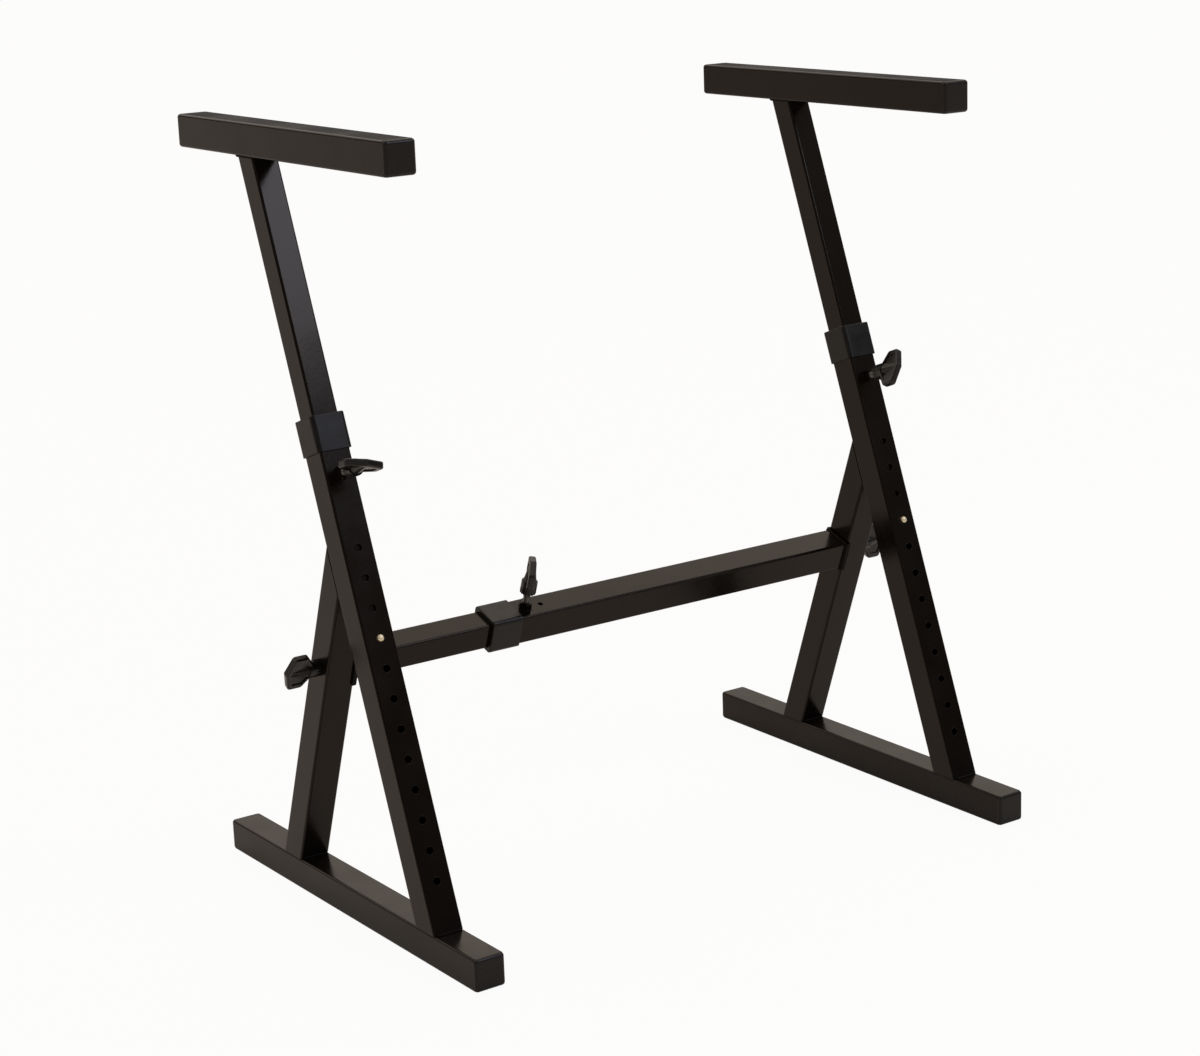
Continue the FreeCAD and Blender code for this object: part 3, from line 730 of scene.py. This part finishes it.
class RimTree:
    """Row of rims, where the coat has drawn up round punched holes."""

    RING_STEPS = 28
    SECTION_STEPS = 8

    def __init__(self) -> None:
        """Builds the tree."""
        tree, source, target = new_tree("hole_rims", {
            "Count": "NodeSocketInt", "Pitch": "NodeSocketFloat", "Rim Radius": "NodeSocketFloat",
            "Rim Thickness": "NodeSocketFloat", "Material": "NodeSocketMaterial"})
        step = add_node(tree, "ShaderNodeCombineXYZ", {"Z": source.outputs["Pitch"]})
        row = add_node(tree, "GeometryNodeMeshLine", {
            "Count": source.outputs["Count"], "Offset": step.outputs[0]}, mode="OFFSET")
        ring = add_node(tree, "GeometryNodeCurvePrimitiveCircle", {
            "Resolution": self.RING_STEPS, "Radius": source.outputs["Rim Radius"]})
        section = add_node(tree, "GeometryNodeCurvePrimitiveCircle", {
            "Resolution": self.SECTION_STEPS, "Radius": source.outputs["Rim Thickness"]})
        rim = add_node(tree, "GeometryNodeCurveToMesh", {
            "Curve": ring.outputs[0], "Profile Curve": section.outputs[0]})
        upright = add_node(tree, "GeometryNodeTransform", {
            "Geometry": rim.outputs[0], "Rotation": (math.pi / 2, 0.0, 0.0)})
        rims = add_node(tree, "GeometryNodeInstanceOnPoints", {
            "Points": row.outputs[0], "Instance": upright.outputs[0]})
        smooth = add_node(tree, "GeometryNodeSetShadeSmooth", {"Geometry": rims.outputs[0]})
        close_tree(tree, source, target, smooth.outputs[0])
        self.tree = tree


class ThreadTree:
    """Lock screw: hexagon head, core and one unbroken thread wound round it."""

    TURN_STEPS = 24
    # The ridge is a square on its corner, half of it sunk in the core
    RIDGE_CORNERS = 4
    CORE_SIDES = 32

    def __init__(self) -> None:
        """Builds the tree."""
        tree, source, target = new_tree("cut_thread", {
            "Length": "NodeSocketFloat", "Pitch": "NodeSocketFloat", "Radius": "NodeSocketFloat",
            "Head Radius": "NodeSocketFloat", "Head Height": "NodeSocketFloat",
            "Material": "NodeSocketMaterial"})
        length, pitch = source.outputs["Length"], source.outputs["Pitch"]
        head_height = source.outputs["Head Height"]
        half_pitch = add_node(tree, "ShaderNodeMath", {0: pitch, 1: 0.5}, operation="MULTIPLY")
        core_radius = add_node(tree, "ShaderNodeMath", {
            0: source.outputs["Radius"], 1: half_pitch.outputs[0]}, operation="SUBTRACT")
        threaded = add_node(tree, "ShaderNodeMath", {0: length, 1: pitch}, operation="SUBTRACT")
        turns = add_node(tree, "ShaderNodeMath", {0: threaded.outputs[0], 1: pitch}, operation="DIVIDE")
        spiral = add_node(tree, "GeometryNodeCurveSpiral", {
            "Resolution": self.TURN_STEPS, "Rotations": turns.outputs[0],
            "Start Radius": core_radius.outputs[0], "End Radius": core_radius.outputs[0],
            "Height": threaded.outputs[0]})
        steady = add_node(tree, "GeometryNodeSetCurveNormal", {"Curve": spiral.outputs[0]}, mode="Z_UP")
        ridge = add_node(tree, "GeometryNodeCurvePrimitiveCircle", {
            "Resolution": self.RIDGE_CORNERS, "Radius": half_pitch.outputs[0]})
        thread = add_node(tree, "GeometryNodeCurveToMesh", {
            "Curve": steady.outputs[0], "Profile Curve": ridge.outputs[0], "Fill Caps": True})
        thread_foot = add_node(tree, "ShaderNodeMath", {0: half_pitch.outputs[0], 1: length},
                               operation="SUBTRACT")
        core = add_node(tree, "GeometryNodeMeshCylinder", {
            "Vertices": self.CORE_SIDES, "Radius": core_radius.outputs[0], "Depth": length})
        core_middle = add_node(tree, "ShaderNodeMath", {0: length, 1: -0.5}, operation="MULTIPLY")
        head = add_node(tree, "GeometryNodeMeshCylinder", {
            "Vertices": HEXAGON_SIDES, "Radius": source.outputs["Head Radius"], "Depth": head_height})
        head_middle = add_node(tree, "ShaderNodeMath", {0: head_height, 1: 0.5}, operation="MULTIPLY")
        joined = add_node(tree, "GeometryNodeJoinGeometry")
        for part, height in ((head, head_middle), (core, core_middle), (thread, thread_foot)):
            lift = add_node(tree, "ShaderNodeCombineXYZ", {"Z": height.outputs[0]})
            placed = add_node(tree, "GeometryNodeTransform", {
                "Geometry": part.outputs[0], "Translation": lift.outputs[0]})
            tree.links.new(placed.outputs[0], joined.inputs[0])
        close_tree(tree, source, target, joined.outputs[0])
        self.tree = tree


# Sub-assemblies, with sizes in millimetres and turns in degrees

def settle(piece: bpy.types.Object, body: str) -> None:
    """Fixes a finished piece to its body and reports it.

    Args:
        piece: Piece with its place in its mesh.
        body: Body of the stand that carries it.
    """
    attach(piece, body)
    log.info("%s rides on %s, %d faces", piece.name, body, len(piece.data.polygons))


def dress(nodes: Iterable[str], finish: bpy.types.Material) -> None:
    """Gives solids of the stand their finish.

    Args:
        nodes: Names of the solids.
        finish: Material for all of them.
    """
    for node in nodes:
        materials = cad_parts[node].data.materials
        materials.clear()
        materials.append(finish)
        log.info("%s is finished in %s", node, finish.name)


@dataclass
class LockScrew:
    """Knob with its threaded stud, which locks a post, a crossbar end or the crossbar's length."""

    name: str
    body: str
    place: Matrix
    length: float
    thread_pitch: float = 1.25
    diameter: float = 8.0
    head_width: float = 13.0
    head_height: float = 5.3

    def build(self, thread: ThreadTree, finishes: Finishes) -> None:
        """Cuts the thread, and dresses the knob.

        Args:
            thread: Tree that winds the thread.
            finishes: Finishes of the stand.
        """
        dress([f"{self.name}_knob"], finishes.knob_plastic)
        node = f"{self.name}_screw"
        dress([node], finishes.zinc)
        piece = grow(f"{node}_thread", point_mesh(node), thread.tree, {
            "Length": self.length, "Pitch": self.thread_pitch, "Radius": self.diameter / 2,
            "Head Radius": hexagon_radius(self.head_width), "Head Height": self.head_height,
            "Material": finishes.zinc}, self.place)
        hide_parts(node)
        settle(piece, self.body)


@dataclass
class SideFrame:
    """One welded side frame with its foot, legs, collar, bracket and lock screws."""

    side: Side
    sizes: StandSizes
    bead: float = 2.0
    bead_inset: float = 1.5
    bracket_bead: float = 1.6
    rim: float = 4.35
    rim_thickness: float = 0.28
    left_post_turn: float = -14.0
    right_post_turn: float = 60.0
    side_turn: float = -11.0

    @property
    def body(self) -> str:
        """Name of the body that carries the frame."""
        return self.side.named("frame")

    def build(self, welds: WeldTree, rims: RimTree, thread: ThreadTree, finishes: Finishes) -> None:
        """Dresses the frame and adds its welds, rims and screws.

        Args:
            welds: Tree that lays weld beads.
            rims: Tree that draws rims round holes.
            thread: Tree that winds threads.
            finishes: Finishes of the stand.
        """
        finished_parts = {
            finishes.coat: ("foot", "front_leg", "rear_leg", "leg_nut"),
            finishes.matt_coat: ("end_bracket", "end_nut"),
            finishes.plastic: ("foot_front_cap", "foot_rear_cap", "leg_collar"),
        }
        for finish, parts in finished_parts.items():
            dress(map(self.side.named, parts), finish)
        self.weld(welds, finishes)
        self.rim_holes(rims, finishes)
        self.fit_screws(thread, finishes)

    def weld(self, welds: WeldTree, finishes: Finishes) -> None:
        """Lays the beads between foot, legs, nut and bracket.

        Args:
            welds: Tree that lays weld beads.
            finishes: Finishes of the stand.
        """
        sizes = self.sizes
        slope = math.tan(math.radians(sizes.lean))
        half = sizes.half
        width = sizes.tube - 2 * self.bead_inset - 2 * self.bead
        front, rear = sizes.front_leg(self.side), sizes.rear_leg(self.side)
        paths = [
            across(front, -half, -half * slope, width),
            across(front, half, half * slope, width),
            across(rear, -half, half * slope, width),
            across(rear, half, -half * slope, width),
        ]
        twice = math.radians(2 * sizes.lean)
        for edge in (-half, half):
            paths.append(across(rear, edge, sizes.meeting + edge / math.tan(twice), width))
        settle(welds.lay(self.side.named("frame_welds"), paths, finishes.matt_coat, self.bead),
               self.body)
        nut = front @ Matrix.Translation((0, -half, sizes.clamp_height)) @ turned(90, "X")
        ring = hexagon(nut, sizes.nut_width)
        settle(welds.lay(self.side.named("nut_weld"), [ring], finishes.matt_coat, sizes.nut_bead,
                         closed=True), self.body)
        plate = -self.side.value * (half + sizes.bracket_gap + sizes.bracket_plate)
        bar = sizes.inner_tube if self.side is Side.LEFT else sizes.tube
        seam = [rear @ Vector((plate, y, sizes.crossbar_height + z)) for y, z in square(bar / 2)]
        settle(welds.lay(self.side.named("bracket_weld"), [seam], finishes.matt_coat,
                         self.bracket_bead, closed=True), self.body)

    def rim_holes(self, rims: RimTree, finishes: Finishes) -> None:
        """Draws the rims round the height holes.

        Args:
            rims: Tree that draws rims.
            finishes: Finishes of the stand.
        """
        sizes = self.sizes
        place = sizes.front_leg(self.side) @ Matrix.Translation((0, -sizes.half, sizes.lowest_hole))
        name = self.side.named("hole_rims")
        piece = grow(name, point_mesh(name), rims.tree, {
            "Count": sizes.hole_count, "Pitch": sizes.hole_pitch, "Rim Radius": self.rim,
            "Rim Thickness": self.rim_thickness, "Material": finishes.coat}, place)
        settle(piece, self.body)

    def fit_screws(self, thread: ThreadTree, finishes: Finishes) -> None:
        """Fits the post's lock screw and the side screw.

        Args:
            thread: Tree that winds threads.
            finishes: Finishes of the stand.
        """
        sizes = self.sizes
        turn = self.left_post_turn if self.side is Side.LEFT else self.right_post_turn
        post_hub = (sizes.front_leg(self.side)
                    @ Matrix.Translation((0, -sizes.half - sizes.standoff, sizes.clamp_height))
                    @ turned(90, "X") @ turned(turn, "Z"))
        sign = self.side.value
        side_hub = (sizes.rear_leg(self.side)
                    @ Matrix.Translation((sign * (sizes.half + sizes.slide_gap), 0, sizes.crossbar_height))
                    @ turned(sign * 90, "Y") @ turned(self.side_turn, "Z"))
        side_reach = (sizes.slide_gap + sizes.tube + sizes.bracket_gap + sizes.bracket_plate
                      + sizes.end_nut_height + sizes.screw_end)
        for part, hub, reach in (("post", post_hub, sizes.clamp_reach), ("side", side_hub, side_reach)):
            name = self.side.named(part)
            LockScrew(name, f"{name}_lock", hub, reach).build(thread, finishes)


@dataclass
class Upright:
    """Sliding post with its arm, snap button and spring."""

    side: Side
    sizes: StandSizes
    bead: float = 1.8
    # The spring's rear limb lies this far behind the post's middle line
    spring_rear: float = 13.4
    spring_depth: float = 25.0
    button_press: float = 6.8

    @property
    def body(self) -> str:
        """Name of the body that carries the upright."""
        return self.side.named("upright")

    def build(self, welds: WeldTree, finishes: Finishes) -> None:
        """Dresses the upright, welds the arm to the post and puts the spring in.

        Args:
            welds: Tree that lays weld beads.
            finishes: Finishes of the stand.
        """
        finished_parts = {
            finishes.coat: ("arm",),
            finishes.post_coat: ("post",),
            finishes.plastic: ("arm_front_cap", "arm_rear_cap"),
            finishes.brass: ("snap_button",),
        }
        for finish, parts in finished_parts.items():
            dress(map(self.side.named, parts), finish)
        self.weld(welds, finishes)
        self.fit_spring(finishes)

    def weld(self, welds: WeldTree, finishes: Finishes) -> None:
        """Lays the bead between arm and post.

        Args:
            welds: Tree that lays weld beads.
            finishes: Finishes of the stand.
        """
        sizes = self.sizes
        slope = math.tan(math.radians(sizes.lean))
        place = sizes.front_leg(self.side)
        seam = [place @ Vector((x, y, sizes.post_top + y * slope))
                for x, y in square(sizes.inner_tube / 2)]
        settle(welds.lay(self.side.named("arm_weld"), [seam], finishes.matt_coat, self.bead,
                         closed=True), self.body)

    def fit_spring(self, finishes: Finishes) -> None:
        """Puts in the button's leaf spring.

        Args:
            finishes: Finishes of the stand.
        """
        node = self.side.named("button_spring")
        dress([node], finishes.spring)
        leaf = merged_copy(node, f"{node}_leaf")
        leaf.materials.append(finishes.spring)
        piece = add_object(leaf.name, leaf)
        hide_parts(node)
        settle(piece, self.body)
        place = self.sizes.front_leg(self.side)
        self.side.named("button_press")
        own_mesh(piece)


@dataclass
class Crossbar:
    """Telescoping crossbar with its collar, nut and lock screw."""

    sizes: StandSizes
    body: str = "right_frame"
    turn: float = 57.0

    def build(self, welds: WeldTree, thread: ThreadTree, finishes: Finishes) -> None:
        """Dresses the crossbar, welds its nut and fits its lock screw.

        Args:
            welds: Tree that lays weld beads.
            thread: Tree that winds threads.
            finishes: Finishes of the stand.
        """
        sizes = self.sizes
        dress(["crossbar_outer", "crossbar_nut"], finishes.coat)
        dress(["crossbar_inner"], finishes.bar_coat)
        dress(["crossbar_collar"], finishes.plastic)
        end = sizes.spacing / 2 - sizes.half - sizes.bracket_gap - sizes.bracket_plate
        x = -end + sizes.crossbar_shown + sizes.crossbar_clamp
        top = sizes.crossbar_height + sizes.half
        place = sizes.rear_leg(None) @ Matrix.Translation((x, 0, top))
        ring = hexagon(place, sizes.nut_width)
        settle(welds.lay("crossbar_nut_weld", [ring], finishes.matt_coat, sizes.nut_bead, closed=True),
               self.body)
        hub = place @ Matrix.Translation((0, 0, sizes.standoff)) @ turned(self.turn, "Z")
        LockScrew("crossbar", "crossbar_lock", hub, sizes.clamp_reach).build(thread, finishes)


# Studio

@dataclass
class Studio:
    """White floor, soft light and the camera, in metres and degrees."""

    camera_place: tuple[float, float, float] = (-1.62905, -2.31417, 1.09022)
    camera_tilt: float = 75.557
    camera_roll: float = -2.066
    camera_turn: float = -34.789
    lens: float = 78.91
    sensor_width: float = 36.0
    # The floor runs far enough that its edge never shows
    floor_size: float = 400.0
    view_end: float = 1000.0
    # Radiance of the room: its dark horizon, its dim front and the pale ceiling that reaches down behind
    horizon_level: float = 0.0
    front_level: float = 0.24
    back_level: float = 1.38
    # Where the room changes from front to back and from horizon to ceiling, as parts of a direction
    front_to_back: tuple[float, float] = (-0.4, 0.5)
    horizon_to_ceiling: tuple[float, float] = (0.12, 0.5)
    room_colour: str = "#fff0e2"
    key_power: float = 36.0
    key_colour: str = "#e2e9ff"
    key_place: tuple[float, float, float] = (1.5, -2.6, 2.9)
    key_aim: tuple[float, float, float] = (0.0, 0.0, 0.4)
    key_size: float = 1.5
    floor_paint: str = "#e6dccf"
    floor_white: str = "#ffffff"
    # Shares of plain white in what the camera and what polished pieces see of the floor and the room
    floor_shares: tuple[float, float] = (0.95, 0.25)
    room_shares: tuple[float, float] = (1.0, 0.08)
    # White of the room, as the far floor looks, so that no horizon shows
    backdrop: str = "#fcfcfb"

    def build(self) -> None:
        """Makes the floor, the light and the camera."""
        self.lay_floor()
        self.light_room()
        self.hang_key_lamp()
        self.aim_camera()
        bpy.context.scene.view_settings.view_transform = "Standard"

    @staticmethod
    def white_share(tree: bpy.types.NodeTree, shares: tuple[float, float]) -> bpy.types.NodeSocket:
        """How much plain white a ray sees.

        Args:
            tree: Tree of the floor or the room.
            shares: Share for the camera, and share for reflections and for what shows through.

        Returns:
            Socket with the share for the ray at hand.
        """
        ray = add_node(tree, "ShaderNodeLightPath")
        mirrored = add_node(tree, "ShaderNodeMath", {
            0: ray.outputs["Is Glossy Ray"], 1: ray.outputs["Is Transmission Ray"]}, operation="MAXIMUM")
        reflected = add_node(tree, "ShaderNodeMath", {0: mirrored.outputs[0], 1: shares[1]},
                             operation="MULTIPLY")
        direct = add_node(tree, "ShaderNodeMath", {0: ray.outputs["Is Camera Ray"], 1: shares[0]},
                          operation="MULTIPLY")
        share = add_node(tree, "ShaderNodeMath", {0: direct.outputs[0], 1: reflected.outputs[0]},
                         operation="MAXIMUM")
        return share.outputs[0]

    def lay_floor(self) -> None:
        """Lays a matt white floor that shows white to the camera and keeps the stand's shadow."""
        mesh = bpy.data.meshes.new("floor")
        corners = [(x, y, 0) for x, y in square(self.floor_size / 2)]
        mesh.from_pydata(corners, [], [range(len(corners))])
        floor = add_object("floor", mesh)
        material, tree = new_shader("matt_white_floor_paint")
        paint = add_node(tree, "ShaderNodeBsdfDiffuse", {"Color": linear(self.floor_paint)})
        glow = add_node(tree, "ShaderNodeEmission", {"Color": linear(self.floor_white), "Strength": 1.0})
        mixed = add_node(tree, "ShaderNodeMixShader", {
            0: self.white_share(tree, self.floor_shares), 1: paint.outputs[0], 2: glow.outputs[0]})
        add_node(tree, "ShaderNodeOutputMaterial", {"Surface": mixed.outputs[0]})
        mesh.materials.append(material)

    def light_room(self) -> None:
        """Lights the stand from a pale ceiling and a dimmer room, which shows white to the camera."""
        world = bpy.data.worlds.new("studio")
        bpy.context.scene.world = world
        world.use_nodes = True
        tree = world.node_tree
        tree.nodes.clear()
        direction = add_node(tree, "ShaderNodeTexCoord").outputs["Generated"]
        parts = add_node(tree, "ShaderNodeSeparateXYZ", {0: direction})
        high = add_node(tree, "ShaderNodeMapRange", {
            "Value": parts.outputs["Y"],
            "From Min": self.front_to_back[0], "From Max": self.front_to_back[1],
            "To Min": self.front_level, "To Max": self.back_level}, interpolation_type="SMOOTHSTEP")
        height = add_node(tree, "ShaderNodeMapRange", {
            "Value": parts.outputs["Z"],
            "From Min": self.horizon_to_ceiling[0], "From Max": self.horizon_to_ceiling[1]},
            interpolation_type="SMOOTHSTEP")
        level = add_node(tree, "ShaderNodeMix", {
            "Factor": height.outputs[0], "A": self.horizon_level, "B": high.outputs[0]},
            data_type="FLOAT")
        room = add_node(tree, "ShaderNodeBackground", {
            "Color": linear(self.room_colour), "Strength": level.outputs[0]})
        white = add_node(tree, "ShaderNodeBackground", {"Color": linear(self.backdrop), "Strength": 1.0})
        mixed = add_node(tree, "ShaderNodeMixShader", {
            0: self.white_share(tree, self.room_shares), 1: room.outputs[0], 2: white.outputs[0]})
        add_node(tree, "ShaderNodeOutputWorld", {"Surface": mixed.outputs[0]})

    def hang_key_lamp(self) -> None:
        """Hangs one cool soft lamp in front, to the right and above."""
        lamp = bpy.data.lights.new("softbox", "AREA")
        lamp.shape = "SQUARE"
        lamp.size = self.key_size
        lamp.energy = self.key_power
        lamp.color = linear(self.key_colour)[:3]
        softbox = add_object("softbox", lamp)
        softbox.location = self.key_place
        aim = Vector(self.key_aim) - softbox.location
        softbox.rotation_euler = aim.to_track_quat("-Z", "Y").to_euler()

    def aim_camera(self) -> None:
        """Sets the camera where the photograph was taken."""
        camera = bpy.data.cameras.new("camera")
        camera.lens = self.lens
        camera.sensor_width = self.sensor_width
        camera.clip_end = self.view_end
        holder = add_object("camera", camera)
        holder.matrix_world = (Matrix.Translation(self.camera_place) @ turned(self.camera_turn, "Z")
                               @ turned(self.camera_tilt, "X") @ turned(self.camera_roll, "Z"))
        bpy.context.scene.camera = holder


def main() -> None:
    """Builds the sub-assemblies and the studio in order."""
    logging.basicConfig(level=logging.INFO, format="%(name)s: %(message)s")
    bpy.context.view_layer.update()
    sizes = StandSizes()
    finishes = Finishes.build(sizes.lean)
    welds, rims, thread = WeldTree(), RimTree(), ThreadTree()
    for side in Side:
        SideFrame(side, sizes).build(welds, rims, thread, finishes)
        Upright(side, sizes).build(welds, finishes)
    Crossbar(sizes).build(welds, thread, finishes)
    Studio().build()


if __name__ == "__main__":
    main()
